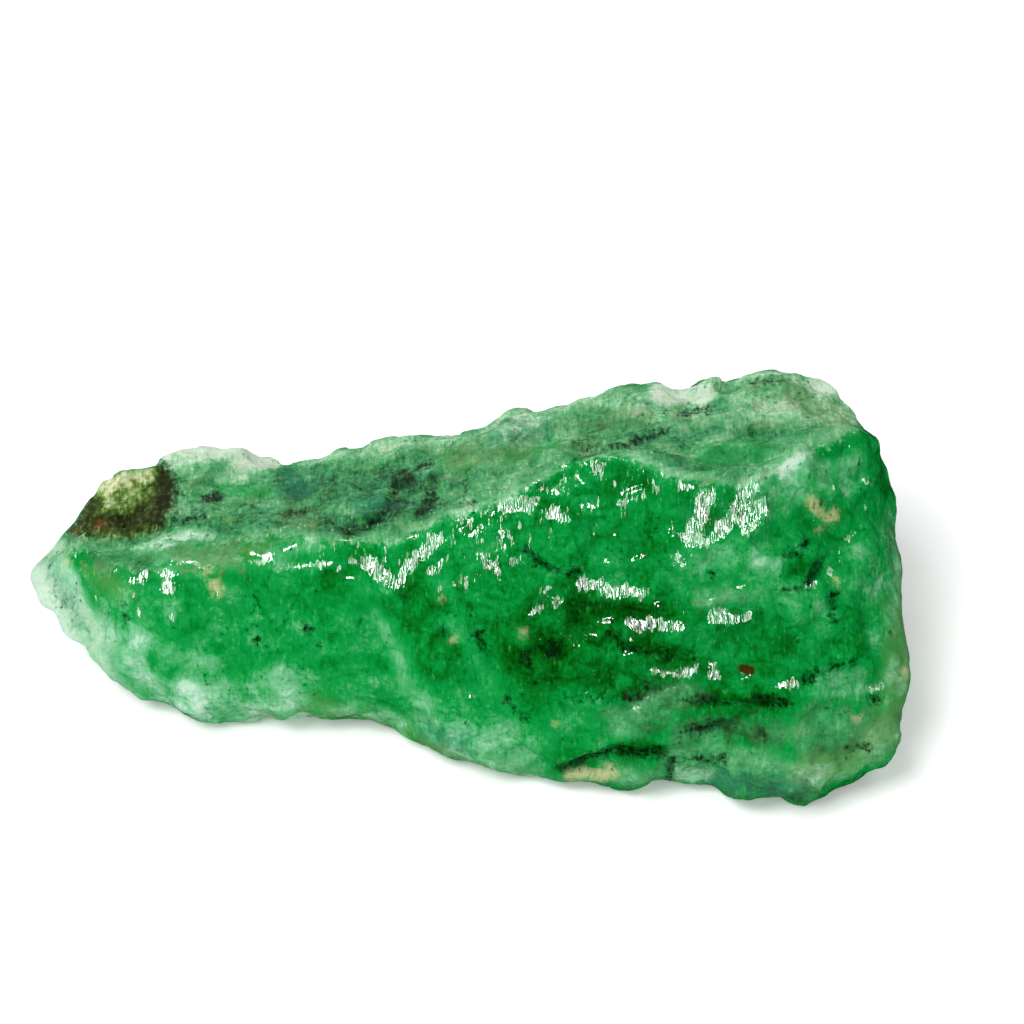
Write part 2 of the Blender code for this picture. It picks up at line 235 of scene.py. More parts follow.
    # How milky the stone is, with some painted shade and painted glow among the zones: wide zones first,
    # and the smaller ones laid over them.
    zones: Zones = make_zones(
        # The glossy front, from the narrow end to the broad one.
        (2, 2.5, 0.57, (-31, 6.5), (-26.5, 4)), (2.6, 2.5, 0.5, (-22, 6), (-14, 5.5)),
        (1.2, 1.6, 0.44, (-17.5, 7.8), (-11.5, 8.2)),
        (1, 1.2, 0.64, (-26.5, 10.3), (-20, 10.6), (-12.8, 11.2)),
        # The pale rim along the lower left edge, in this row and the next, is partly milky stone and partly
        # painted glow of the light coming through the thin edge.
        (2, 3.4, 0.86, (-31.8, 2.4), (-28.5, -0.4), (-24.5, -2.2), (-19.5, -3.2), (-15.5, -3)),
        (0.8, 1.6, 0.82, (-29.5, -1.4), (-25, -3.4), (-19.5, -4.6)),
        (0.6, 1, 0.8, (-24.8, 1.2), (-22, 0.9)), (0.8, 1.2, 0.74, (-18.9, -1.1), (-16.6, -0.2)),
        (0.5, 1, 0.66, (-27.5, 1.5), (-26, 0.6)), (2.2, 2.4, 0.5, (-9.5, 5), (-7.5, 0)),
        (0.8, 1.4, 0.58, (-5.6, 4), (-4.8, -1.5)), (2.4, 2.2, 0.44, (-1.5, 5.8), (2, 3)),
        (0.7, 1, 0.34, (-4.7, 8.1), (-1.6, 6.8)), (2, 2.4, 0.64, (-8, -2), (-2, -3.6), (5, -5)),
        (0.9, 1.8, 0.76, (-12.5, -3.8), (-3, -5.4), (1.5, -6.4), (6.5, -8)),
        (2.2, 1.8, 0.46, (7, 13), (15, 12)), (1.2, 1.6, 0.42, (5.5, 8), (8.5, 6)),
        # Painted shade: the dark zones at (8, 5.4), (10.3, 7) and (12, 3.6) darken the recesses under the
        # ledges.
        (1.6, 1.5, 0.27, (8, 5.4), (15.5, 5)), (0.5, 0.7, 0.2, (10.3, 7), (13.4, 6.3), (18.3, 6.4)),
        (0.5, 0.7, 0.22, (12, 3.6), (15, 3.2), (20, 2.6)), (1.5, 1.6, 0.36, (7, 1.5), (14, 0.5), (20, 0.8)),
        (0.7, 0.9, 0.26, (7.7, 3.7), (9.9, 2.4)), (0.5, 0.8, 0.26, (9, 8.9), (11.6, 8.4)),
        (1.8, 1.8, 0.53, (9, -3.2), (18, -4.4)), (1.9, 1, 0.45, (18.2, 10.6), (20, 8.4)),
        (2.2, 1.6, 0.65, (21.6, 9.6), (26.5, 9.2)), (0.8, 1, 0.66, (24.2, 11.6), (26, 12.4)),
        (1.6, 1.6, 0.47, (22, 4), (27, 3.2)), (1, 0.8, 0.63, (22, 20.3), (28, 20.3)),
        (1.8, 2, 0.7, (27.5, 16.6), (33.5, 18.6)), (0.6, 0.9, 0.52, (31, 20.6), (34, 20.8)),
        (1.8, 2, 0.58, (30.5, 7), (36.5, 6)), (0.8, 1.2, 0.42, (33, 2.6), (35.5, 2.4)),
        # The pale zone along the broad end's edge, from (39.2, 14.6) to (39, -2), is partly milky stone and
        # partly painted glow of the light coming through the thin edge.
        (0.4, 0.7, 0.32, (29, 9.8), (31, 10.6)), (0.7, 1.6, 0.67, (39.2, 14.6), (39.6, 6), (39, -2)),
        (1, 1.6, 0.6, (35.5, 13), (36.5, 9)), (0.9, 1, 0.74, (31.9, -0.4), (35.2, 0)),
        (0.5, 0.9, 0.28, (21.4, -1.5), (29.2, -1.8)), (1.2, 1.2, 0.34, (21.5, -4), (28, -3.6)),
        (0.5, 0.9, 0.24, (23.4, -4.8), (26.4, -5)), (0.9, 1, 0.6, (25.5, -7), (30.5, -6.8)),
        (1.6, 1.8, 0.51, (30, -3.4), (36.5, -4.4)), (0.6, 1, 0.58, (16, -5.6), (22.5, -5.4)),
        (0.9, 1.2, 0.46, (21.5, -8.8), (29.5, -9.4)), (0.6, 0.8, 0.74, (14.4, -8.6), (16.4, -8.8)),
        (0.6, 0.8, 0.62, (16.8, -8.8), (18, -9)), (0.5, 0.8, 0.84, (19.8, -8.6), (22, -8.6)),
        (0.8, 1.2, 0.76, (30.5, -8), (33.5, -8), (36, -6.4), (38.6, -4)),
        (0.6, 1, 0.68, (38.4, -3.6), (39.2, 0.4)), (0.4, 0.8, 0.26, (14.3, -6), (17.9, -6.2)),
        # The weathered top, from its pale rim down. The pale zones along the top edge are partly milky
        # stone and partly painted glow of the light coming through the stone at its outline.
        (0.3, 1.2, 0.8, (-17.5, 20), (-10, 20.6), (-4, 21.4), (0.5, 21.8)),
        (0.4, 1.3, 0.84, (2.5, 23.4), (9, 25.2), (14, 26.6)),
        (0.4, 1.4, 0.86, (22.5, 27.4), (31.5, 27.8), (36.5, 24)),
        (1.6, 1.6, 0.53, (-25.5, 17), (-17.5, 16.6)), (0.8, 1, 0.42, (-24, 14), (-12.5, 14.6)),
        (0.3, 0.7, 0.8, (-29.5, 11.5), (-28, 11.9), (-25.6, 12.6), (-23, 12.9)),
        (1.6, 1.6, 0.42, (-12, 17.5), (-1, 17)), (1, 1.4, 0.52, (-4, 19.6), (8, 19)),
        (0.5, 0.7, 0.56, (-9.4, 14.6), (-5.6, 16.2)), (0.7, 0.9, 0.2, (-9.6, 13.6), (-6, 15.4), (-5.4, 18)),
        (0.7, 0.9, 0.28, (-16.4, 18.6), (-15.2, 16.8)), (0.4, 0.8, 0.26, (-3.4, 15), (-2.4, 17.6)),
        (0.6, 0.9, 0.64, (0, 15.2), (6, 17.8), (9.5, 19.8)), (0.9, 1.2, 0.78, (3, 22.4), (11.5, 22.8)),
        (0.8, 1, 0.46, (12, 21.8), (20.5, 21.6)), (1, 1.4, 0.68, (13.5, 24.6), (22.5, 24.6)),
        (1.4, 1.8, 0.67, (24, 25), (33.5, 24.6)), (0.7, 1.2, 0.74, (-25, 18.9), (-21, 18.9)),
        (1.2, 0.9, 1.1, (-27.2, 20.4), (-24.8, 21.2), (-22.5, 21.2), (-20.2, 20.8), (-19, 20.2)),
        (0.6, 0.7, 0.88, (-14.6, 20.6), (-12.4, 21.2)), (0.4, 0.7, 0.82, (4.1, 22.5), (7.4, 22.9)),
        (0.8, 0.9, 0.98, (18.4, 26), (20.7, 26.3), (22.2, 25.9)),
        (0.7, 0.9, 0.9, (31.6, 27.4), (34.2, 26.8)), (0.4, 0.7, 0.54, (26.8, 26.7), (29.9, 27.1)),
    )
    # Dull stone on the front, as on the weathered top.
    dull: Lines = make_lines(
        (4.5, (-44, 8), (-36, 2)), (2.4, (20.6, -7.9), (30, -9)), (1, (9.6, -9), (15, -8.6), (19, -9.2)),
        (2, (31, -4.6), (38, -5)), (1, (20, -4.2), (28, -4.4)), (0.8, (-3, -6.4), (6.5, -9)),
        (0.4, (39.8, 14), (40.6, 4), (39.6, -3)), (1, (-33, 10.5), (-27.5, 11.1), (-20.5, 11.3)),
        (1.4, (14.6, -3.4), (16.6, -2.5), (19.8, -0.9)), (0.4, (21.2, 7), (24.4, 7.6)),
    )
    # Clean bright stone within the weathered top.
    fresh: Lines = make_lines(
        (1.1, (21.8, 20), (27.6, 20.2)), (0.5, (-22.4, 17.2), (-18, 16.9)), (0.5, (8.6, 21.2), (4.4, 19.8)),
    )
    # Bluish stone.
    teal: Lines = make_lines(
        (0.8, (-16.2, 18.8), (-15, 16.8)), (0.9, (23.2, -8.8), (26.7, -9.3), (30.2, -9.1)),
        (0.7, (-8.9, 15), (-6.9, 15.9)), (0.8, (4.1, 22.2), (7.4, 22.5)),
        (0.2, (-38.4, 9.2), (-36.9, 7.2), (-35.2, 4.6)), (0.7, (-2.6, -5.1), (0.1, -5.9)),
    )
    # Olive and brown stain.
    olive: Lines = make_lines(
        (0.6, (-0.5, 20.4), (0.9, 20.5)), (0.35, (-18.7, -3.7), (-17.3, -3.6)),
        (0.35, (-13.8, -3.2), (-12.3, -2.7)),
        (1.1, (30.5, -7.6), (34, -7), (38, -4.5), (39.4, 0), (39.6, 6)), (0.4, (10.9, 21.1), (11.8, 20.9)),
        (0.5, (-1, 19.6), (6, 20.6)), (0.9, (30, 25.4), (35.4, 23.6)), (0.4, (13, 23.4), (17, 24)),
        (0.5, (-15.7, 15), (-13.7, 14.6)), (0.6, (-25.3, 10.6), (-21.6, 11.1), (-18, 11.7)),
        (0.7, (-33.4, 9.2), (-30.8, 7.9)), (0.3, (-14.4, -3.2), (-8, -3.9), (-5, -5), (-0.5, -7.2)),
    )
    # Cream spots and patches of the parent rock.
    cream: Lines = make_lines(
        (0.34, (31, 15.9), (31.9, 15)), (0.4, (32.6, 14.3), (33.3, 14.6)), (0.22, (31.9, 13.4)),
        (0.22, (-36.6, 10.4), (-36.5, 10)), (0.22, (-34.6, 9.7)), (0.36, (-23, 9.2)),
        (0.45, (-22.2, 8.5), (-21.7, 8.1)), (0.22, (-22.4, 9.7)), (0.16, (-22.2, 7.4)), (0.22, (-0.4, 3.7)),
        (0.16, (5.8, 4.3)), (0.08, (-1.6, 7.4)), (0.18, (8.6, -3.8)),
        (0.6, (10.1, -8.5), (11.7, -8.5), (13.7, -8.2)), (0.35, (33.3, 9)), (0.24, (35.1, -3.2)),
        (0.3, (40, 0.8)),
    )
    # Rust-red specks and the one dark red inclusion.
    rust: Lines = make_lines(
        (0.42, (25, 1.3), (25.6, 1.1)), (0.12, (-28.6, 16.1)), (0.2, (-15.7, 15)), (0.18, (36.9, -1.5)),
    )
    # Orange stain on the crust.
    ember: Lines = make_lines(
        (0.25, (-34.2, 13.8), (-33.2, 13.9)), (0.25, (-36.4, 13)), (0.15, (-34.4, 9.4), (-34.2, 8.8)),
    )
    # The tip's pale broken face.
    tip: tuple[Patch, ...] = (Patch((
        (-44, 14), (-37.6, 12.3), (-36.5, 10.9), (-35.1, 9.2), (-34, 6.5), (-33, 4.5), (-32.2, 1.3),
        (-30.4, -1.4), (-44, -3),
    )),)
    # The brown crust on the top of the narrow end, and its lighter and darker lumps.
    crust: tuple[Patch, ...] = (Patch((
        (-38, 12.9), (-36.6, 14.2), (-35.6, 15.9), (-34.4, 18.4), (-32.2, 19.2), (-30.2, 19), (-28.2, 19.8),
        (-27.2, 18.6), (-26.6, 17.2), (-26.6, 15.6), (-27, 14), (-28.4, 13), (-30.2, 12.3), (-33, 12.3),
    )),)
    crust_zones: Zones = make_zones(
        (0.7, 0.9, 0.9, (-33.8, 17.2), (-31.8, 18)), (0.4, 0.7, 0.78, (-33.2, 15.8)),
        (0.6, 0.5, 0.82, (-30.6, 18.3), (-29.6, 18.6)), (0.8, 0.7, 0.62, (-31.8, 16), (-30.8, 16.6)),
        (0.5, 0.6, 0.5, (-29.4, 16.9)), (0.6, 0.7, 0.14, (-27.6, 18.6), (-27.2, 15)),
        (0.6, 0.7, 0.24, (-36.6, 13.2), (-31, 13.8), (-28, 14.4)),
        (0.4, 0.7, 0.44, (-35.4, 12.6), (-32, 12.6), (-29.5, 12.8)),
    )

    def crest_height(self, across: Any) -> Any:
        """How far up the slope the crest lies at each place along the stone."""
        return np.interp(across, *np.array(self.crest).T)

    def drawn(self) -> dict[Layer, tuple[Line | Patch, ...]]:
        """The marks of each layer that the material draws by their distance."""
        names = "seam vein dull fresh tip teal olive cream rust ember crust"
        return {Layer(name): getattr(self, name) for name in names.split()}


@dataclass(frozen=True)
class Sparks:
    """Short upright glints scattered under the crest, thickest where it bends.

    Each field is its middle across, its spread, how far it reaches below the crest, and its count.
    """

    fields: tuple[tuple[float, float, float, int], ...] = (
        (-24, 6, 4.2, 26), (-9, 4, 2.2, 16), (2, 3.2, 6, 84), (12, 4, 4.6, 44), (22, 6, 9, 20),
        (33, 2.4, 12, 22),
    )
    seed: int = 14
    gap: float = 0.3
    crowding: float = 1.4
    lean: float = 0.15
    length: Point = (0.15, 0.9)
    reach: Point = (0.03, 0.13)
    # Left of this place the glints are slimmer, by this share.
    slim_from: float = -12.0
    slimming: float = 0.55

    def scatter(self, marks: Marks) -> Lines:
        """Draws the glints.

        Args:
            marks: the marks, for their crest.

        Returns:
            One line for each glint.
        """
        dice = np.random.default_rng(self.seed)
        glints = []
        for middle, spread, deepest, count in self.fields:
            crossings = dice.normal(middle, spread, count)
            for across in np.clip(crossings, middle - 2 * spread, middle + 2 * spread):
                up = marks.crest_height(across) - self.gap - deepest * dice.random() ** self.crowding
                lean, length = dice.normal(0.0, self.lean), dice.uniform(*self.length)
                reach = dice.uniform(*self.reach) * (self.slimming if across < self.slim_from else 1.0)
                glints.append(Line(reach, ((across, up), (across + lean, up - length))))
        return tuple(glints)


# Brushes that shape the surface


def add_object(name: str, data: Any) -> Piece:
    """Adds an object with the given data, or an empty one, to the scene."""
    piece = bpy.data.objects.new(name, data)
    bpy.context.scene.collection.objects.link(piece)
    return piece


def choose(piece: Piece) -> None:
    """Makes a piece the only selected object and the active one."""
    bpy.ops.object.select_all(action="DESELECT")
    piece.select_set(True)
    bpy.context.view_layer.objects.active = piece


def shape(piece: Piece, kind: str, **settings: Any) -> None:
    """Adds a modifier to a piece and applies it.

    Args:
        piece: the mesh object to shape.
        kind: the modifier's type.
        settings: its settings.
    """
    modifier = piece.modifiers.new(kind, kind)
    for name, value in settings.items():
        setattr(modifier, name, value)
    choose(piece)
    bpy.ops.object.modifier_apply(modifier=modifier.name)


# How squarely a place has to face the camera to belong to the front, and where a cut or a ledge fades.
FRONTAL = 0.1
GRAZING = (0.05, 0.3)


class Skin:
    """The lump's vertices as arrays in millimetres, and the brushes that move them."""

    def __init__(self, piece: Piece, facing: Array | None = None) -> None:
        """Reads the places and the normals of a piece's vertices.

        Args:
            piece: the mesh object to work on.
            facing: how squarely each vertex faces the camera, if it is known from a smoother shape.
        """
        self.piece = piece
        mesh = piece.data
        places, normals = np.empty((2, len(mesh.vertices) * 3), np.float32)
        mesh.vertices.foreach_get("co", places)
        mesh.vertex_normals.foreach_get("vector", normals)
        self.places = places.reshape(-1, 3).astype(float) / MM
        self.normals = normals.reshape(-1, 3).astype(float)
        # 1 square on to the camera, 0 edge on, and below 0 from behind.
        self.facing = self.normals @ OUT if facing is None else facing

    @property
    def flat(self) -> Array:
        """Each vertex's place on the looking plane."""
        return np.stack((self.places @ ACROSS, self.places @ UP), axis=1)

    def spread(self, values: Array, rounds: int) -> Array:
        """Evens numbers out over neighbouring vertices.

        Args:
            values: one number for each vertex.
            rounds: how many times each takes the mean of itself and its neighbours.

        Returns:
            The evened numbers.
        """
        edges = np.empty(len(self.piece.data.edges) * 2, np.int32)
        self.piece.data.edges.foreach_get("vertices", edges)
        start, end = edges.reshape(-1, 2).T
        count = len(values)
        around = np.bincount(start, minlength=count) + np.bincount(end, minlength=count) + 1.0
        for _ in range(rounds):
            total = values + np.bincount(start, values[end], count) + np.bincount(end, values[start], count)
            values = total / around
        return values

    def write(self) -> None:
        """Puts the moved places back into the mesh."""
        self.piece.data.vertices.foreach_set("co", (self.places * MM).astype(np.float32).ravel())
        self.piece.data.update()

    def group(self, region: "Region", weights: Array, least: float = 0.001) -> None:
        """Makes a vertex group.

        Args:
            region: the region that the group is for.
            weights: one weight from 0 to 1 for each vertex.
            least: vertices that weigh no more than this are left out.
        """
        group = self.piece.vertex_groups.new(name=region.value)
        for index in np.flatnonzero(weights > least):
            group.add((int(index),), float(weights[index]), "REPLACE")

    def attribute(self, layer: Layer, values: Array) -> None:
        """Stores one number or one direction for each vertex, for the material to read.

        Args:
            layer: which mark they are for.
            values: the numbers, or the directions one row each.
        """
        kind, name = ("FLOAT_VECTOR", "vector") if values.ndim > 1 else ("FLOAT", "value")
        attribute = self.piece.data.attributes.new(layer.value, kind, "POINT")
        attribute.data.foreach_set(name, values.astype(np.float32).ravel())

    def pull(self, at: Point, move: Point, reach: float) -> None:
        """Pulls the outline at a place on the looking plane, through the whole depth of the stone."""
        share = rise(np.linalg.norm(self.flat - at, axis=1), reach, 0.0) * rise(self.places[:, 2], 0.0, 1.0)
        self.places += share[:, None] * (move[0] * ACROSS + move[1] * UP)

    def cut(self, seam: Line, flank: float = 0.35, depth: float = 0.10, widening: float = 0.4) -> None:
        """Presses the surface in along a seam, the deeper the wider it is."""
        weight = rise(seam.beyond(self.flat), flank, 0.0) * rise(self.facing, *GRAZING)
        self.places -= self.normals * ((depth + widening * seam.reach) * weight)[:, None]

    def step(self, ledge: Line, run: float = 1.8, lip: float = 0.25) -> None:
        """Makes a ledge: the surface stands out above a line and falls back below it.

        Args:
            ledge: the line, whose reach is the ledge's height.
            run: how far to each side the surface moves.
            lip: how far above and below the line the ledge takes to rise.
        """
        flat = self.flat
        away, closest = ledge.nearest(flat)
        fade = rise(away, run, 0.0) * rise(self.facing, *GRAZING)
        shift = ledge.reach * fade * np.tanh((flat[:, 1] - closest[:, 1]) / lip) * 0.5
        self.places += self.normals * shift[:, None]

    def strike(
        self, shelf: Line, front: KDTree, studio: "Studio", seat: float = 0.25, blur: float = 1.7,
        deepest: float = 1.3,
    ) -> None:
        """Flattens the surface along a shelf to planes that face halfway to the lamp.

        Args:
            shelf: the shelf's line.
            front: the front's vertices by their places on the looking plane.
            studio: the studio, which knows where the lamp and the camera are.
            seat: how far apart the planes sit along the shelf.
            blur: how far out its edge melts away, as a share of its reach.
            deepest: how far the surface moves at most.
        """
        away, closest = shelf.nearest(self.flat)
        near = np.flatnonzero((away < shelf.reach * blur) & (self.facing > FRONTAL))
        if not len(near):
            return
        keys = np.round(closest[near] / seat).astype(int)
        spots, owner = np.unique(keys, axis=0, return_inverse=True)
        around = [[index for _, index, _ in front.find_n((*spot, 0.0), 12)] for spot in spots * seat]
        seats = np.array([self.places[found].mean(axis=0) for found in around])[owner.ravel()]
        towards = studio.glint(seats)
        height = ((self.places[near] - seats) * towards).sum(axis=1)
        move = np.clip(height, -deepest, deepest) * rise(away[near], shelf.reach * blur, shelf.reach * 0.9)
        self.places[near] -= towards * move[:, None]


@dataclass(frozen=True)
class Facets:
    """Small flat breaks all over the stone: each tips its own way about its own middle.

    `stretch` lengthens them along the stone, up the slope and outwards, and `turn` is how many degrees
    their length rises to the right. `lowest` and `highest` are the corners of the box they fill.
    """

    spacing: float
    tilt: float
    sharpness: float
    stretch: Place
    seed: int
    turn: float = 0.0
    lowest: Place = (-50.0, -26.0, -28.0)
    highest: Place = (50.0, 40.0, 24.0)

    def chip(self, skin: Skin, strength: Array) -> Array:
        """Tips the surface to the facets.

        Args:
            skin: the vertices to move.
            strength: how far each vertex follows its facet, from 0 to 1.

        Returns:
            Each vertex's tone, from 0 to 1, much the same all over a facet.
        """
        dice = np.random.default_rng(self.seed)
        cos, sin = math.cos(math.radians(self.turn)), math.sin(math.radians(self.turn))
        axes = np.stack((cos * ACROSS + sin * UP, cos * UP - sin * ACROSS, OUT), axis=1)
        places = skin.places @ axes / self.stretch
        low, high = np.array((self.lowest, self.highest)) / self.stretch
        count = int(np.prod((high - low) / self.spacing))
        middles = dice.uniform(low, high, (count, 3))
        tips = dice.normal(0.0, self.tilt, (count, 3))
        tones = dice.uniform(0.0, 1.0, count)
        tree = KDTree(count)
        for index, middle in enumerate(middles):
            tree.insert(middle, index)
        tree.balance()
        found = [tree.find_n(place, 4) for place in places]
        nearest = np.array([[index for _, index, _ in group] for group in found])
        away = np.array([[distance for _, _, distance in group] for group in found])
        share = (away[:, :1] / np.maximum(away, 1e-6)) ** self.sharpness
        share /= share.sum(axis=1, keepdims=True)
        lean = ((places[:, None] - middles[nearest]) * tips[nearest]).sum(axis=2)
        height = (share * lean).sum(axis=1) * strength
        skin.places += skin.normals * height[:, None]
        return (share * tones[nearest]).sum(axis=1)


class Region(Enum):
    """A part of the surface that has reliefs of its own, by its vertex group's name."""

    GLOSSY, WEATHERED, CRUSTED = "glossy", "weathered", "crusted"


class Space(Enum):
    """How a pattern is stretched: alike all ways, up the slope, or along the stone."""

    EVEN = (1.0, 1.0, 1.0)
    UPHILL = (1.0, 4.6, 4.6)
    LENGTHWISE = (3.2, 1.0, 1.0)


@dataclass(frozen=True)
class Relief:
    """Cloudy bumps pressed into one region of the surface.

    `size` is the bumps' width and `height` how far they go from their lowest to their highest.
    """

    name: str
    size: float
    height: float
    region: Region
    space: Space = Space.EVEN
    detail: int = 2

    def press(self, piece: Piece) -> None:
        """Presses the bumps into a piece.

        Args:
            piece: the mesh object to shape.
        """
        texture = bpy.data.textures.new(self.name, "CLOUDS")
        texture.noise_scale = self.size * MM
        texture.noise_depth = self.detail
        guide = add_object(self.name + " guide", None)
        guide.rotation_euler = (math.radians(45), 0, 0)
        guide.scale = self.space.value
        bpy.context.view_layer.update()
        shape(piece, "DISPLACE", texture=texture, texture_coords="OBJECT", texture_coords_object=guide,
              strength=self.height * MM, vertex_group=self.region.value)
        bpy.data.objects.remove(guide)
        bpy.data.textures.remove(texture)


# The lump


@dataclass
class Lump:
    """The whole stone: one closed mesh that stands for the solid."""

    marks: Marks
    studio: "Studio"
    # The width of a face, and the rounds that soften the shape and that even out where it faces.
    face: float = 0.315
    softening: int = 12
    evening: int = 60
    facing: Array | None = None
    # Narrow shelves broken into the front, tipped back so that they catch the lamp.
    shelves: Lines = make_lines(
        (0.65, (-26.3, 9.1), (-26.3, 8.1)), (0.1, (-26.1, 11.2), (-26.2, 10.2)),
        (0.3, (-29.2, 6.2), (-28.8, 5.7)), (0.22, (-26, 5.7), (-25.8, 5.3)),
        (0.16, (-32.4, 6.9), (-32.4, 6.5)), (0.2, (-19.2, 10.6), (-17.7, 10.4)),
        (0.32, (-15.6, 10), (-11.3, 10.4)), (0.8, (-8, 10.4), (-7, 9.5), (-5.7, 8.6)),
        (0.7, (-5.2, 8.6), (-4.5, 10.2), (-3.4, 11.1), (-1.8, 12.5)), (0.4, (-2.3, 9.7), (-1.1, 10.9)),
        (0.5, (1.9, 11.2), (2.6, 10.3)), (0.35, (3.2, 10.4), (3.6, 9)), (0.4, (3.9, 13.4), (4.1, 12)),
        (0.8, (4.4, 15.6), (6.1, 15.5)), (0.55, (8.4, 15), (9.3, 14.4)), (0.3, (10.9, 15.6), (12.1, 15.4)),
        (0.26, (14.2, 15.8), (15.2, 16)), (0.7, (11, 8.7), (12.6, 8.4), (14, 7.8)),
        (0.55, (14, 8.3), (15.9, 7.9)), (0.5, (7.8, 8), (8.8, 7.1)),
        (0.9, (21.7, 16.4), (21, 15.2), (20.7, 14)), (0.75, (20.7, 14), (20.2, 12.5)),
        (0.52, (20.6, 12.3), (21.6, 12.5), (22.5, 12.9)), (0.75, (22.8, 13.2), (23.8, 14.6), (24.8, 16.5)),
        (1.15, (25.2, 16.6), (25.6, 15.2), (25.4, 14.1)), (0.34, (26.7, 16.2), (26.9, 15), (26.7, 14)),
        (0.09, (1.4, 12.7), (0.7, 10.9), (0.8, 8)), (0.16, (30.5, 8.4), (31.4, 8.6)),
        (0.5, (19, 11.2), (19.6, 10.5)), (0.6, (15.3, 5.1), (17.4, 5.2), (19.4, 4.9)),
        (0.85, (22.5, 5.7), (24.9, 5.9)), (0.85, (17.4, 1.4), (20.2, 1.2)), (0.4, (22.3, 1.7), (22.5, 0.5)),
        (0.4, (28, -0.1), (29.3, -0.1)), (0.4, (36.5, -0.5), (37.2, -0.4)), (0.5, (36.1, 18), (37.2, 17.7)),
        (0.35, (6.4, 6), (7.2, 6.6)), (0.28, (16.2, 16.3), (16.5, 16.1)), (0.4, (19.4, 17.3), (20.5, 17.1)),
    )
    sparks: Sparks = Sparks()
    # How far the tip's pale stone reaches along the back, and how far off the other marks lie there.
    tip_end: float = -35.0
    hidden: float = 4.5
    # The cloudiness of plain stone on the front, how much the top has more, and the plain crust's tone.
    plain: float = 0.48
    plain_top: float = 0.04
    plain_crust: float = 0.34
    # Where the reliefs rise or fade: above the table, at the broad end, at the tip, and at both ends.
    foot: Point = (0.1, 1.2)
    broad_end: Point = (36.0, 38.5)
    narrow_end: Point = (-34.0, -37.0)
    hackly_end: Point = (38.5, 34.0)
    # The reliefs that come before the facets, and the wrinkles that come last.
    reliefs: tuple[Relief, ...] = (
        Relief("soft waves", 3.2, 0.55, Region.GLOSSY),
        Relief("broken lumps", 2.6, 0.65, Region.WEATHERED, Space.LENGTHWISE),
        Relief("grains", 0.8, 0.26, Region.WEATHERED),
        Relief("crust lumps", 1.5, 1.1, Region.CRUSTED, detail=3),
    )
    wrinkles: Relief = Relief("wrinkles", 0.9, 0.12, Region.GLOSSY, Space.UPHILL, 1)
    # The facets of the whole stone, large and small, and the slabs of its weathered sides.
    large_facets: Facets = Facets(3.6, 0.17, 12.0, (1.9, 1.0, 1.0), 5)
    small_facets: Facets = Facets(1.7, 0.14, 12.0, (1.3, 1.0, 1.0), 9)
    slabs: Facets = Facets(2.0, 0.30, 16.0, (3.4, 1.0, 1.0), 21, 11.0)
    # Seams that reach no further than this aren't cut.
    hairline: float = 0.15
    # Ledges: each one's height, then the points of its line.
    ledges: Lines = make_lines(
        (0.5, (10.3, 7.3), (13.4, 6.6), (18.3, 6.3)),
        (0.5, (13.3, 4.4), (14.1, 3.4), (15.8, 3), (20.7, 2.8)),
        (0.5, (6.1, 11.6), (7.4, 10.5), (9.4, 9.6), (10.6, 9.8)),
        (0.6, (20.5, -1.6), (25.6, -1.6), (28.9, -1.7)),
        (0.7, (9.2, -7.7), (11.5, -6.5), (14.4, -5.7), (17.8, -5.8)),
        (0.7, (10.7, 21), (13.4, 20.8), (15.1, 20.9), (18.7, 22.4)), (0.7, (4, 21.8), (7.6, 21.9)),
    )
    # Pulls that bring the outline into line: where on the looking plane, how far, and their reach.
    grabs: tuple[tuple[Point, Point, float], ...] = (
        ((29.7, 28), (0, -0.3), 3.6), ((25.2, 28), (0, -0.5), 2.5), ((28.8, 27.2), (0, 0.6), 2.2),
        ((13.4, 26.8), (0, -0.4), 2.5), ((6.3, 25), (0, -0.6), 3), ((39.8, 14.6), (-0.4, 0), 3),
        ((38.8, 10.6), (0.4, 0), 2.4), ((40.2, -3.3), (-0.6, 0), 2.4), ((37.6, -7.8), (0.5, -0.1), 3),
        ((28.7, -12.3), (0, 1), 3.6), ((20, -11), (0, 0.4), 3), ((11.7, -10.1), (0, 0.5), 4),
        ((-18, -4.5), (0, 0.7), 2.2), ((-25, 21.4), (0, -0.6), 1.8), ((-20.8, 20.8), (0, 0.5), 2),
        ((-9, 21.6), (0, -0.5), 2.4), ((24.4, 27.4), (0, -0.3), 2.4), ((5.4, 24.2), (0, 0.6), 2.6),
        ((-27.5, -3.3), (0.2, 0.5), 2.6), ((-17, 20.2), (0, -0.4), 1.8), ((-13.4, 20.8), (0, -0.4), 2),
        ((-34.6, 18.2), (-0.4, 0.5), 1.6), ((-39, 6.7), (-0.3, 0), 2.4), ((-37, 3.9), (-0.5, -0.5), 2.6),
        ((-39.9, 8), (-0.4, 0), 2.4), ((30.8, -11.1), (0, 0.5), 2.4), ((36.5, -8.9), (-0.2, 0.7), 2.8),
        ((11.6, 27.4), (0, -0.5), 2.4), ((32.8, 28), (-0.4, -0.5), 3), ((20.6, -11.4), (0, 0.5), 2.4),
    )

    def skin_copy(self) -> Piece:
        """Copies the solid's mesh and skins it in even faces.

        Returns:
            The new piece, softened so that the solid's flat faces don't show.
        """
        piece = add_object(PIECE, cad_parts[NODE].data.copy())
        piece.data.materials.clear()
        choose(piece)
        bpy.ops.object.mode_set(mode="EDIT")
        bpy.ops.mesh.select_all(action="SELECT")
        bpy.ops.mesh.remove_doubles(threshold=1e-6)
        bpy.ops.object.mode_set(mode="OBJECT")
        shape(piece, "REMESH", mode="VOXEL", voxel_size=self.face * MM, use_smooth_shade=True)
        shape(piece, "SMOOTH", factor=0.5, iterations=self.softening)
        skin = Skin(piece)
        for grab in self.grabs:
            skin.pull(*grab)
        skin.write()
        skin = Skin(piece)
        self.facing = skin.spread(skin.facing, self.evening)
        return piece

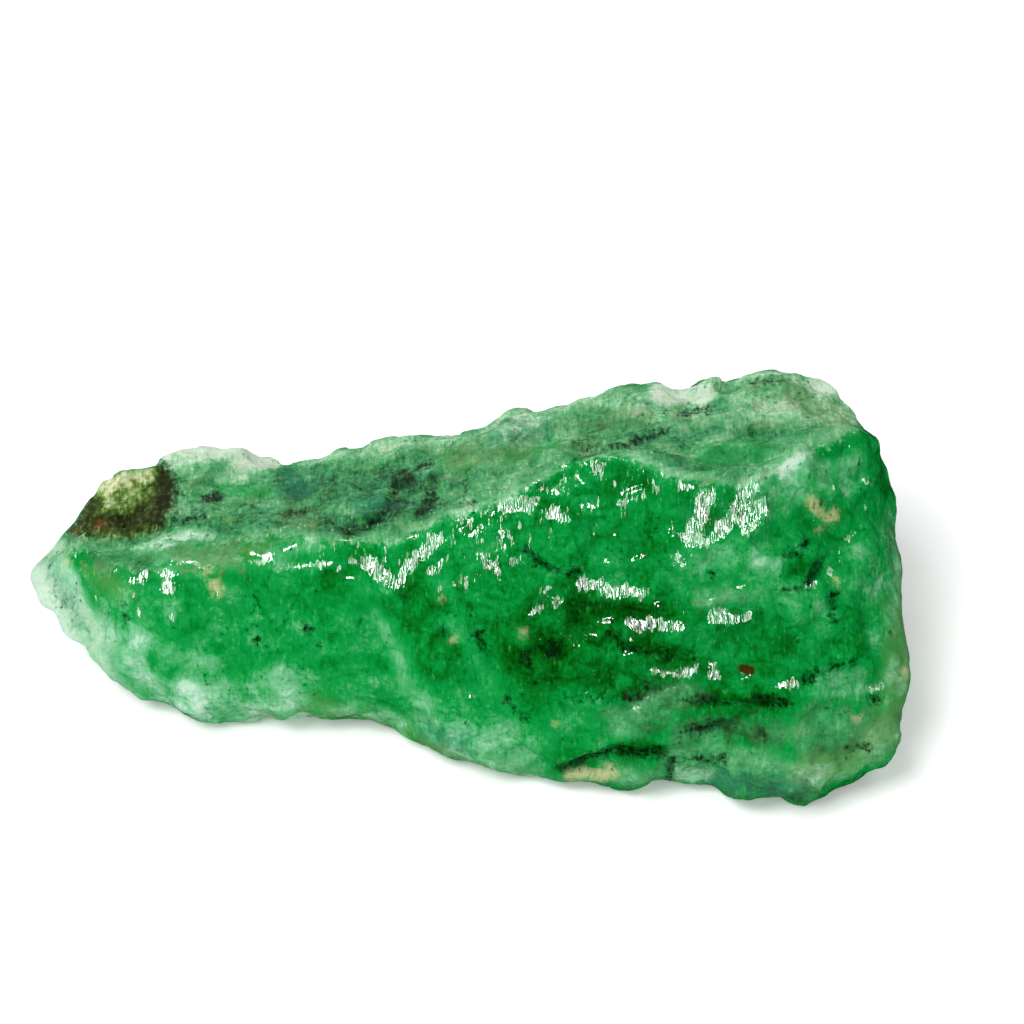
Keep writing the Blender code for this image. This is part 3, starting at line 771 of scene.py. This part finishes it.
    def brush(self, piece: Piece) -> None:
        """Works the front over with the ledges, the shelves and the seams.

        Args:
            piece: the softened lump.
        """
        skin = Skin(piece, self.facing)
        for ledge in self.ledges:
            skin.step(ledge)
        indices = np.flatnonzero(skin.facing > FRONTAL)
        front = KDTree(len(indices))
        for index, (across, up) in zip(indices, skin.flat[indices]):
            front.insert((across, up, 0.0), int(index))
        front.balance()
        for shelf in self.shelves:
            skin.strike(shelf, front, self.studio)
        for seam in self.marks.seam:
            if seam.reach > self.hairline and len(seam.points) > 1:
                skin.cut(seam)
        skin.write()

    def over_crest(self, skin: Skin) -> Array:
        """How far each vertex lies above the crest line on the looking plane."""
        across, up = skin.flat.T
        return up - self.marks.crest_height(across)

    def roughen(self, piece: Piece) -> None:
        """Presses the reliefs and the facets into the front, the weathered sides and the crust.

        Args:
            piece: the softened lump.
        """
        skin = Skin(piece, self.facing)
        across = skin.places[:, 0]
        free = rise(skin.places[:, 2], *self.foot)
        front = rise(skin.facing, 0.0, 0.3) * rise(self.over_crest(skin), 0.4, -0.6)
        free *= (1 - 0.6 * rise(across, *self.broad_end)) * (1 - 0.7 * rise(across, *self.narrow_end))
        hackly = rise(np.abs(across), *self.hackly_end)
        crusted = rise(self.marks.crust[0].beyond(skin.flat), 0.2, -0.4) * rise(skin.facing, 0.0, 0.2)
        skin.group(Region.GLOSSY, front * free)
        skin.group(Region.WEATHERED, (1 - front) * free * (0.3 + 0.7 * hackly))
        skin.group(Region.CRUSTED, crusted * free)
        for relief in self.reliefs:
            relief.press(piece)
        skin = Skin(piece, self.facing)
        squarely = 0.4 + 0.6 * rise(np.abs(skin.facing), 0.05, 0.5)
        unbroken = front * (0.65 - 0.65 * rise(skin.places[:, 0], -2.0, 12.0))
        broken = free * (1 - unbroken) * squarely
        tone = 0.5 * self.large_facets.chip(skin, broken)
        tone += 0.5 * self.small_facets.chip(skin, broken * (0.5 + 0.5 * front))
        self.slabs.chip(skin, free * (1 - front) * hackly * squarely)
        skin.write()
        skin.attribute(Layer.TONE, tone)
        self.brush(piece)
        self.wrinkles.press(piece)
        skin = Skin(piece, self.facing)
        skin.places[:, 2] = np.maximum(skin.places[:, 2], 0.0)
        skin.write()

    def mark(self, piece: Piece) -> None:
        """Stores every mark as a vertex attribute for the material.

        Args:
            piece: the finished shape.
        """
        skin, marks = Skin(piece, self.facing), self.marks
        flat, over = skin.flat, self.over_crest(skin)
        shown, behind = rise(skin.facing, -0.35, 0.0), rise(skin.facing, 0.0, -0.35)
        cloud = self.plain + self.plain_top * rise(over, -0.5, 0.5)
        for zone in marks.zones:
            cloud = zone.lay(cloud, flat, shown)
        crust_tone = np.full(len(flat), self.plain_crust)
        for zone in marks.crust_zones:
            crust_tone = zone.lay(crust_tone, flat, shown)
        values = {
            Layer.FRONT: rise(skin.facing, -0.1, 0.2), Layer.CREST: over + self.hidden * behind,
            Layer.CLOUD: cloud, Layer.CRUST_TONE: crust_tone, Layer.GLINT: self.studio.glint(skin.places),
        }
        shining = (*self.shelves, *self.sparks.scatter(marks))
        for layer, drawn in {**marks.drawn(), Layer.SHINE: shining}.items():
            beyond = np.min([mark.beyond(flat) for mark in drawn], axis=0)
            past = skin.places[:, 0] - self.tip_end - beyond if layer is Layer.TIP else self.hidden
            values[layer] = beyond + past * behind
        for layer, numbers in values.items():
            skin.attribute(layer, numbers)

    def build(self) -> Piece:
        """Makes the lump and gives it its finish.

        Returns:
            The finished piece, riding on its body.
        """
        piece = self.skin_copy()
        self.roughen(piece)
        self.mark(piece)
        piece.vertex_groups.clear()
        choose(piece)
        bpy.ops.object.shade_smooth()
        piece.data.materials.append(FluoriteFinish().material())
        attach(piece, BODY)
        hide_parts(NODE)
        return piece


# Materials


def linear(colour: Colour) -> tuple[float, float, float, float]:
    """A display colour, 0 to 255 each, as the linear colour that shaders use."""
    shares = (part / 255 for part in colour)
    return (*(s / 12.92 if s <= 0.04045 else ((s + 0.055) / 1.055) ** 2.4 for s in shares), 1.0)


@dataclass(frozen=True)
class Value:
    """A number that varies over the surface; arithmetic on it adds Math nodes."""

    graph: "Graph"
    socket: Socket

    def math(self, operation: str, *operands: Any) -> "Value":
        """Adds a Math node with the operands as its inputs and gives its result."""
        node = self.graph.node("ShaderNodeMath", {"operation": operation}, dict(enumerate(operands)))
        return Value(self.graph, node.outputs[0])

    def __add__(self, other: Any) -> "Value":
        """Sum."""
        return self.math("ADD", self, other)

    def __mul__(self, other: Any) -> "Value":
        """Product."""
        return self.math("MULTIPLY", self, other)

    __radd__, __rmul__ = __add__, __mul__

    def __sub__(self, other: Any) -> "Value":
        """Difference."""
        return self.math("SUBTRACT", self, other)

    def __rsub__(self, other: Any) -> "Value":
        """Difference the other way round."""
        return self.math("SUBTRACT", other, self)

    @property
    def size(self) -> "Value":
        """The number without its sign."""
        return self.math("ABSOLUTE", self)

    def most(self, other: Any) -> "Value":
        """The larger of the two."""
        return self.math("MAXIMUM", self, other)

    def rise(self, low: float, high: float) -> "Value":
        """Goes smoothly from 0 at `low` to 1 at `high`, which may be the smaller of the two.

        Args:
            low: where the rise starts.
            high: where the rise ends.

        Returns:
            The graded value.
        """
        if low > high:
            return 1 - self.rise(high, low)
        sockets = {"Value": self, "From Min": low, "From Max": high}
        node = self.graph.node("ShaderNodeMapRange", {"interpolation_type": "SMOOTHSTEP"}, sockets)
        return Value(self.graph, node.outputs[0])


class Graph:
    """The node tree of one material."""

    def __init__(self, name: str) -> None:
        """Makes a material with one Principled shader.

        Args:
            name: the material's name.
        """
        self.material = bpy.data.materials.new(name)
        self.material.use_nodes = True
        self.tree = self.material.node_tree
        self.shader = self.tree.nodes["Principled BSDF"]
        # Object coordinates in millimetres, and the same turned so that Y runs up the slope.
        own = self.node("ShaderNodeTexCoord").outputs["Object"]
        self.place = self.vector("SCALE", own, Scale=1 / MM)
        self.sloping = self.mapped(self.place, Rotation=(math.radians(-45), 0, 0))

    def node(
        self, kind: str, settings: dict[str, Any] | None = None, sockets: dict[Any, Any] | None = None
    ) -> bpy.types.Node:
        """Adds a node.

        Args:
            kind: the node's type.
            settings: its own settings, which are set first.
            sockets: the value or the link of each input, by name or number.

        Returns:
            The new node.
        """
        node = self.tree.nodes.new(kind)
        for name, value in (settings or {}).items():
            setattr(node, name, value)
        self.feed(node, sockets or {})
        return node

    def feed(self, node: bpy.types.Node, sockets: dict[Any, Any]) -> None:
        """Links or sets a node's inputs.

        Args:
            node: the node.
            sockets: the value or the link of each input, by name or number.
        """
        for key, value in sockets.items():
            if isinstance(value, (Value, Socket)):
                self.tree.links.new(value.socket if isinstance(value, Value) else value, node.inputs[key])
            else:
                node.inputs[key].default_value = value

    def vector(self, operation: str, *operands: Any, **sockets: Any) -> Socket:
        """Adds a Vector Math node with the operands as its inputs and gives its result."""
        sockets.update(enumerate(operands))
        return self.node("ShaderNodeVectorMath", {"operation": operation}, sockets).outputs[0]

    def mapped(self, place: Socket, **sockets: Place) -> Socket:
        """Adds a Mapping node that turns or scales coordinates and gives them."""
        return self.node("ShaderNodeMapping", {}, {"Vector": place, **sockets}).outputs[0]

    def layer(self, layer: Layer) -> Value:
        """The numbers that the mesh stores for a mark."""
        return Value(self, self.node("ShaderNodeAttribute", {"attribute_name": layer.value}).outputs["Fac"])

    def swing(
        self, size: float, detail: float = 2.0, roughness: float = 0.5, distortion: float = 0.0,
        space: Space = Space.EVEN, shift: float = 0.0, turn: float = 0.0,
    ) -> Value:
        """A cloudy pattern around 0, mostly between -1 and 1.

        Args:
            size: the width of its clouds.
            detail: how many finer patterns are added.
            roughness: how strong those are.
            distortion: how far it is swirled.
            space: how it is stretched.
            shift: slides the pattern, so that two of one size differ.
            turn: how many degrees its length rises to the right.

        Returns:
            The pattern.
        """
        place = self.sloping
        if turn:
            place = self.mapped(place, Rotation=(0, 0, math.radians(-turn)))
        if space is not Space.EVEN:
            place = self.mapped(place, Scale=tuple(1 / part for part in space.value))
        if shift:
            place = self.vector("ADD", place, (shift,) * 3)
        sockets = {"Vector": place, "Scale": 1 / size, "Detail": detail, "Roughness": roughness,
                   "Distortion": distortion}
        node = self.node("ShaderNodeTexNoise", {}, sockets)
        return (Value(self, node.outputs["Fac"]) - 0.5) * 4

    def ramp(self, value: Value, stops: Ramp) -> Socket:
        """Turns a number to a colour.

        Args:
            value: the number.
            stops: each stop's position and display colour.

        Returns:
            The colour.
        """
        node = self.node("ShaderNodeValToRGB", {}, {"Fac": value})
        elements = node.color_ramp.elements
        while len(elements) < len(stops):
            elements.new(1.0)
        for element, (position, colour) in zip(elements, stops):
            element.position, element.color = position, linear(colour)
        return node.outputs["Color"]

    def blend(self, under: Any, over: Any, share: Any) -> Socket:
        """Lays one colour over another.

        Args:
            under: the colour so far, a display colour or a socket.
            over: the colour laid on it.
            share: how much of it shows, from 0 to 1.

        Returns:
            The combined colour.
        """
        under, over = (linear(c) if isinstance(c, tuple) else c for c in (under, over))
        settings = {"data_type": "RGBA", "clamp_factor": True}
        return self.node("ShaderNodeMix", settings, {0: share, 6: under, 7: over}).outputs[2]


class StoneGraph(Graph):
    """The nodes of the stone's material, with the patterns that its marks share, each around 0."""

    def __init__(self) -> None:
        """Lays out wide clouds, smaller ones, specks, upright threads and streaks along the stone."""
        super().__init__("green fluorite")
        self.broad = self.swing(5.0, 2.0, 0.55, 1.2, shift=4.0)
        self.middling = self.swing(1.7, 3.0, 0.60, 1.0, shift=11.0)
        self.fine = self.swing(0.42, 2.0, 0.7, shift=5.0)
        self.upright = self.swing(0.24, 1.0, 0.6, 0.0, Space.UPHILL, 31.0)
        self.streaks = self.swing(1.10, 2.0, 0.6, 0.0, Space.LENGTHWISE, 17.0, 11.0)
        # How far above the crest a place lies, and 1 where the stone faces the camera.
        self.crest = self.layer(Layer.CREST)
        self.front = self.layer(Layer.FRONT)
        # A slow pattern of directions that the edges of the cells wander by.
        slow = {"Vector": self.place, "Scale": 1 / 2.6, "Detail": 2.0}
        self.wander = self.node("ShaderNodeTexNoise", {}, slow).outputs["Color"]

    def ragged(self, layer: Layer, wander: float, fray: float, low: float, high: float) -> Value:
        """Where a mark shows, with its edge moved by smaller clouds (`wander`) and specks (`fray`).

        It starts to show at `low` outside the mark and is whole at `high`, which is inside it below 0.
        """
        return (self.layer(layer) + wander * self.middling + fray * self.fine).rise(low, high)

    def cells(self, size: float, feature: str, shift: float, warp: float) -> tuple[Value, Value]:
        """A pattern of cells.

        Args:
            size: the width of a cell.
            feature: what is measured: "F1", from its middle, or "DISTANCE_TO_EDGE".
            shift: slides the pattern.
            warp: how far its edges wander.

        Returns:
            The distance, and a number that each cell has for itself.
        """
        moved = self.vector("MULTIPLY_ADD", self.wander, (2 * warp,) * 3, (shift - warp,) * 3)
        sockets = {"Vector": self.vector("ADD", self.place, moved), "Scale": 1 / size}
        node = self.node("ShaderNodeTexVoronoi", {"feature": feature}, sockets)
        return Value(self, node.outputs[0]), Value(self, node.outputs[1])


@dataclass(frozen=True)
class FluoriteFinish:
    """Green fluorite: glossy and clear on its broken front, dull and grainy where it has weathered.

    The stone's paleness runs from 0, deep and clear, to 1, milky, and also carries painted shade under the
    ledges and painted glow at thin edges; each ramp turns it to a colour.
    """

    clear_ramp: Ramp = (
        (0.00, (2, 38, 6)), (0.16, (3, 82, 12)), (0.30, (4, 112, 30)), (0.44, (5, 139, 57)),
        (0.55, (22, 150, 69)), (0.65, (62, 162, 93)), (0.80, (112, 187, 137)), (1.00, (190, 222, 200)),
    )
    dull_ramp: Ramp = (
        (0.00, (8, 38, 16)), (0.20, (26, 88, 46)), (0.35, (44, 127, 74)), (0.46, (60, 147, 89)),
        (0.58, (84, 160, 104)), (0.70, (112, 177, 126)), (0.82, (144, 196, 151)), (1.00, (202, 221, 199)),
    )
    crust_ramp: Ramp = (
        (0.00, (24, 30, 0)), (0.20, (40, 52, 4)), (0.36, (56, 78, 18)), (0.50, (80, 109, 40)),
        (0.65, (116, 146, 74)), (0.84, (184, 194, 140)), (1.00, (214, 218, 184)),
    )
    teal: Colour = (14, 124, 90)
    olive: Colour = (120, 138, 70)
    shade: Colour = (4, 50, 14)
    ink: Colour = (5, 22, 4)
    brown: Colour = (40, 31, 6)
    cream: Colour = (220, 210, 160)
    # Painted sparkle: the tint of small pale upright ticks on the front, crowded near the crest.
    sparkle_tint: Colour = (196, 212, 168)
    rust: Colour = (94, 22, 2)
    ember: Colour = (142, 82, 36)
    # How rough the front, the weathered stone, the crust and the shelves' threads are.
    gloss: float = 0.09
    dullness: float = 0.82
    crust_dullness: float = 0.95
    sheen: float = 0.31
    refraction: float = 1.434
    shine: float = 0.50
    # The light that wanders inside the stone: its share, how deep it goes, and each colour's part.
    glow: float = 0.20
    glow_depth: float = 1.4
    glow_reach: Place = (0.2, 1.0, 0.4)
    # How high the finest wrinkles and the grain stand.
    wrinkle: float = 0.014
    grain: float = 0.025

    def material(self) -> bpy.types.Material:
        """Builds the material.

        Returns:
            The finished material.
        """
        stone = StoneGraph()
        weathered = (stone.crest + 0.5 * stone.middling + 0.4 * stone.fine).rise(-0.6, 0.5)
        dull = stone.ragged(Layer.DULL, 1.6, 0.4, 0.8, -0.8)
        bright = stone.ragged(Layer.FRESH, 0.5, 0.3, 0.7, -0.6)
        fresh = (1 - stone.front) * (stone.broad + 0.4 * stone.middling).rise(0.45, 0.75)
        clean = (stone.broad + 0.8 * stone.streaks).rise(0.3, 1.1)
        worn = 1 - 0.85 * fresh
        aged = weathered.most(0.5 * dull) * worn * (1 - 0.85 * bright)
        weathered = weathered.most(0.8 * dull) * worn
        cloud = self.milkiness_and_painted_light(stone, aged)
        clear, dulled = stone.ramp(cloud, self.clear_ramp), stone.ramp(cloud, self.dull_ramp)
        colour = self.stains(stone, stone.blend(clear, dulled, aged * (1 - 0.65 * clean)), aged)
        crust = stone.ragged(Layer.CRUST, 0.3, 0.0, 0.1, -0.4)
        strands = stone.swing(0.40, 1.0, 0.6, 0.0, Space.UPHILL, 51.0)
        torn = 0.30 * stone.middling + 0.26 * stone.upright + 0.28 * strands + 0.06 * stone.fine
        shine = (stone.layer(Layer.SHINE) + torn).rise(0.10, -0.22)
        threads = (0.8 * strands + 0.5 * stone.upright + 0.4 * stone.middling).rise(0.25, -0.35)
        rough = self.gloss + 0.04 * stone.fine.most(0) + (self.dullness - self.gloss) * weathered
        rough = rough.most(self.crust_dullness * crust).most(self.sheen * (shine * threads))
        stone.feed(stone.shader, {
            "Base Color": colour, "Roughness": rough, "Normal": self.bumps(stone, weathered, shine),
            "IOR": self.refraction, "Specular IOR Level": self.shine, "Subsurface Weight": self.glow,
            "Subsurface Scale": self.glow_depth * MM, "Subsurface Radius": self.glow_reach,
        })
        return stone.material

    def milkiness_and_painted_light(self, stone: StoneGraph, aged: Value) -> Value:
        """How milky the stone is from place to place, with the painted shade and painted glow that its
        zones carry.

        Args:
            stone: the material's nodes.
            aged: 1 on the weathered stone and 0 on the glossy front.

        Returns:
            The paleness, from 0 to 1.
        """
        level = stone.layer(Layer.CLOUD)
        cloud = level - 0.03 + 0.10 * stone.broad + 0.12 * stone.middling
        cloud = cloud + (0.10 * stone.fine + 0.05 * stone.upright) * (1.35 - 0.9 * level)
        cloud = cloud + 0.20 * (stone.layer(Layer.TONE) - 0.5)
        spot, own = stone.cells(2.6, "F1", 7.0, 1.3)
        cloud = cloud + (0.22 * (0.45 - spot) + 0.12 * (own - 0.5)) * (0.60 + 0.7 * level)
        # The back: wider clouds and dark cracks.
        back = 1 - stone.front
        wide = stone.swing(9.0, 2.0, 0.6, shift=40.0)
        edge, _ = stone.cells(8.5, "DISTANCE_TO_EDGE", 5.0, 4.5)
        cracks = (edge + 0.03 * stone.middling).rise(0.05, 0.0) * (wide + stone.broad).rise(-0.6, 0.4)
        cloud = cloud + back * (0.03 + 0.32 * wide) - 0.34 * cracks * back
        # Streaks and threads on the weathered top, and thin dark seams between the front's grains.
        cloud = cloud + aged * (0.15 * stone.streaks + 0.10 * stone.fine)
        cloud = cloud + 0.05 * stone.upright * aged * stone.front * stone.crest.rise(-0.8, 0.8)
        edge, _ = stone.cells(3.4, "DISTANCE_TO_EDGE", 3.0, 1.4)
        thin = edge.rise(0.08, 0.01) * (stone.broad + stone.middling).rise(-0.3, 0.6)
        cloud = cloud - 0.10 * thin * (1 - aged)
        brink = (stone.crest + 0.7 * stone.middling + 0.3 * stone.fine).size.rise(0.9, 0.0)
        cloud = cloud + 0.17 * stone.ragged(Layer.VEIN, 0.9, 0.4, 0.9, -0.8) + 0.14 * brink * stone.front
        pale = 0.86 + 0.13 * stone.layer(Layer.TIP).rise(-1.8, -4.4)
        pale = pale + 0.06 * stone.streaks + 0.04 * stone.fine
        return cloud + stone.ragged(Layer.TIP, 0.35, 0.15, 0.6, -0.7) * (pale - cloud)

    def stains(self, stone: StoneGraph, colour: Socket, aged: Value) -> Socket:
        """Lays the tints, the crust, the spots, the painted sparkle and the seams over a colour.

        Args:
            stone: the material's nodes.
            colour: the colour so far.
            aged: 1 on the weathered stone and 0 on the glossy front.

        Returns:
            The colour with the stains on it.
        """
        fine, middling, upright, ragged = stone.fine, stone.middling, stone.upright, stone.ragged
        hues = stone.streaks + 0.5 * middling
        grit, _ = stone.cells(0.62, "F1", 2.0, 0.3)
        crust_tone = stone.layer(Layer.CRUST_TONE) + 0.12 * middling + 0.15 * fine
        crust_tone = crust_tone + 0.10 * upright + 0.45 * (0.42 - grit)
        grainy = (0.4 * upright + fine + 0.5 * middling).rise(-1.2, 0.6)
        reddish = stone.blend(self.rust, self.brown, (fine + middling).rise(-1.2, 0.8))
        rust = (stone.layer(Layer.RUST) + 0.09 * fine).rise(0.14, -0.14)
        # Painted sparkle: small pale upright ticks on the front, crowded near the crest.
        brow = (stone.crest + 1.5 * middling).size.rise(3.4, 0.4)
        painted_sparkles = (upright + 0.5 * fine).rise(0.75, 1.15) * (0.12 + 0.88 * brow)
        seam = stone.layer(Layer.SEAM) + 0.4 * middling
        specks = (seam + 0.6 * fine + 0.30 * upright).rise(-0.06, -0.45)
        ink = stone.blend(self.ink, self.brown, (middling + fine).rise(0.0, 0.9))
        dots = (fine + 0.7 * middling - 0.3 * stone.broad).rise(-0.70, -1.25)
        for tint, share in (
            (self.teal, 0.55 * ragged(Layer.TEAL, 1.2, 0.6, 1.2, -0.9)),
            (self.olive, 0.30 * ragged(Layer.OLIVE, 1.2, 0.6, 1.2, -0.9)),
            (self.olive, 0.45 * aged * hues.rise(0.1, 1.2)),
            (self.teal, 0.35 * aged * hues.rise(-0.35, -1.3)),
            (stone.ramp(crust_tone, self.crust_ramp), ragged(Layer.CRUST, 0.45, 0.36, 0.5, -0.6)),
            (self.cream, ragged(Layer.CREAM, 0.5, 0.42, 0.45, -0.45) * (0.25 + 0.45 * grainy)),
            (self.ember, 0.5 * ragged(Layer.EMBER, 0.3, 0.36, 0.3, -0.4)),
            (reddish, 0.94 * rust),
            (self.sparkle_tint, 0.5 * painted_sparkles * stone.front),
            (self.shade, (0.72 - 0.22 * aged) * (seam + 0.36 * fine).rise(0.45, -0.25)),
            (ink, 0.82 * specks),
            (self.shade, 0.7 * dots),
        ):
            colour = stone.blend(colour, tint, share)
        return colour

    def bumps(self, stone: StoneGraph, weathered: Value, shine: Value) -> Socket:
        """The relief that is finer than the mesh: wrinkles, grain, and the shelves' own tilt.

        Args:
            stone: the material's nodes.
            weathered: 1 on the weathered stone and 0 on the glossy front.
            shine: 1 on a shelf that catches the lamp and 0 elsewhere.

        Returns:
            The bent normal.
        """
        smooth = stone.node("ShaderNodeNewGeometry").outputs["Normal"]
        wrinkles = stone.swing(0.27, 1.0, 0.5, 0.0, Space.UPHILL, 2.0) * self.wrinkle
        grain = stone.swing(0.30, 1.0, 0.6, shift=9.0) * self.grain
        wrinkled, grained = (
            stone.node("ShaderNodeBump", {}, {"Height": height, "Distance": MM, "Strength": 1.0}).outputs[0]
            for height in (wrinkles, grain)
        )
        glint = stone.node("ShaderNodeAttribute", {"attribute_name": Layer.GLINT.value}).outputs["Vector"]
        bent = smooth
        for towards, share in (
            (wrinkled, (1 - weathered) * (1 + 1.1 * shine)), (grained, 0.12 + 0.88 * weathered),
            (glint, shine),
        ):
            tilt = stone.vector("SUBTRACT", towards, smooth)
            bent = stone.vector("ADD", bent, stone.vector("SCALE", tilt, Scale=share))
        return stone.vector("NORMALIZE", bent)


# The studio


@dataclass
class Studio:
    """A white table, a white room, a soft lamp overhead and a small bright one, and the camera."""

    # The camera's place, how many degrees it looks down, and its lens.
    eye: Place = (4.791, -151.279, 172.453)
    tilt: float = 45.0
    lens: float = 85.0
    # The lamp that makes the highlights, and the soft one: place, width and brightness.
    lamp: Place = (-210.0, 110.0, 440.0)
    lamp_width: float = 110.0
    lamp_radiance: float = 58.0
    sky: Place = (-220.0, -170.0, 520.0)
    sky_width: float = 260.0
    sky_radiance: float = 11.2
    # How bright the room is, and how wide the table.
    room: float = 0.56
    table: float = 3000.0
    table_colour: Colour = (248, 248, 248)
    table_roughness: float = 0.8
    # The table's own glow close to the stone, how much more it has far away, and where that rises.
    table_glow: float = 0.22
    far_glow: float = 0.34
    glow_rise: Point = (120.0, 420.0)

    def glint(self, places: Array) -> Array:
        """The direction that a face has to look in to send the lamp's light to the camera.

        Args:
            places: the faces' places, one row each.

        Returns:
            One direction of length 1 for each place.
        """
        between = np.zeros_like(places)
        for goal in (self.lamp, self.eye):
            towards = np.array(goal) - places
            between += towards / np.linalg.norm(towards, axis=1, keepdims=True)
        return between / np.linalg.norm(between, axis=1, keepdims=True)

    def area_lamp(self, name: str, place: Place, width: float, radiance: float) -> Piece:
        """Hangs a square lamp that shines at the stone.

        Args:
            name: the lamp's name.
            place: where it hangs.
            width: its side.
            radiance: how bright it looks, where white paper in the room is about 1.

        Returns:
            The lamp.
        """
        data = bpy.data.lights.new(name, "AREA")
        data.size = width * MM
        data.energy = radiance * math.pi * (width * MM) ** 2
        lamp = add_object(name, data)
        lamp.location = Vector(place) * MM
        lamp.rotation_euler = (Vector((0, 0, 10)) - Vector(place)).to_track_quat("-Z", "Y").to_euler()
        return lamp

    def lay_table(self) -> None:
        """Lays the plain pale table under the stone."""
        bpy.ops.mesh.primitive_plane_add(size=self.table * MM)
        table = bpy.context.active_object
        table.name = "table"
        graph = Graph("white table")
        length = graph.node("ShaderNodeVectorMath", {"operation": "LENGTH"}, {0: graph.place})
        away = Value(graph, length.outputs["Value"])
        graph.feed(graph.shader, {
            "Base Color": linear(self.table_colour), "Roughness": self.table_roughness,
            "Specular IOR Level": 0.0, "Emission Strength": 1.0,
            "Emission Color": self.table_glow + self.far_glow * away.rise(*self.glow_rise),
        })
        table.data.materials.append(graph.material)
        table.visible_glossy = False

    def fill_room(self) -> None:
        """Lights the room evenly from all around."""
        world = bpy.data.worlds.new("white room")
        bpy.context.scene.world = world
        world.use_nodes = True
        nodes, links = world.node_tree.nodes, world.node_tree.links
        background = nodes["Background"]
        background.inputs["Color"].default_value = (1.0, 1.0, 1.0, 1.0)
        strength = nodes.new("ShaderNodeMapRange")
        strength.inputs["To Min"].default_value = self.room
        links.new(nodes.new("ShaderNodeLightPath").outputs["Is Camera Ray"], strength.inputs["Value"])
        links.new(strength.outputs[0], background.inputs["Strength"])
        world.cycles_visibility.glossy = False

    def set_camera(self) -> None:
        """Sets the camera up at 45 degrees above the stone's front."""
        data = bpy.data.cameras.new("camera")
        data.lens = self.lens
        data.clip_start = 0.01
        camera = add_object("camera", data)
        camera.location = Vector(self.eye) * MM
        camera.rotation_euler = (math.radians(90 - self.tilt), 0, 0)
        bpy.context.scene.camera = camera

    def build(self) -> None:
        """Sets up the table, the light and the camera."""
        self.lay_table()
        self.fill_room()
        highlight = self.area_lamp("highlight lamp", self.lamp, self.lamp_width, self.lamp_radiance)
        highlight.visible_diffuse = False
        soft = self.area_lamp("soft lamp", self.sky, self.sky_width, self.sky_radiance)
        soft.visible_glossy = False
        self.set_camera()
        bpy.context.scene.view_settings.view_transform = "Standard"


def main() -> None:
    """Builds the studio and the stone."""
    logging.basicConfig(level=logging.INFO, format="%(name)s: %(message)s")
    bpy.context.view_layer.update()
    studio = Studio()
    studio.build()
    log.info("the studio is lit")
    lump = Lump(Marks(), studio).build()
    log.info("%s has %d faces", lump.name, len(lump.data.polygons))


if __name__ == "__main__":
    main()
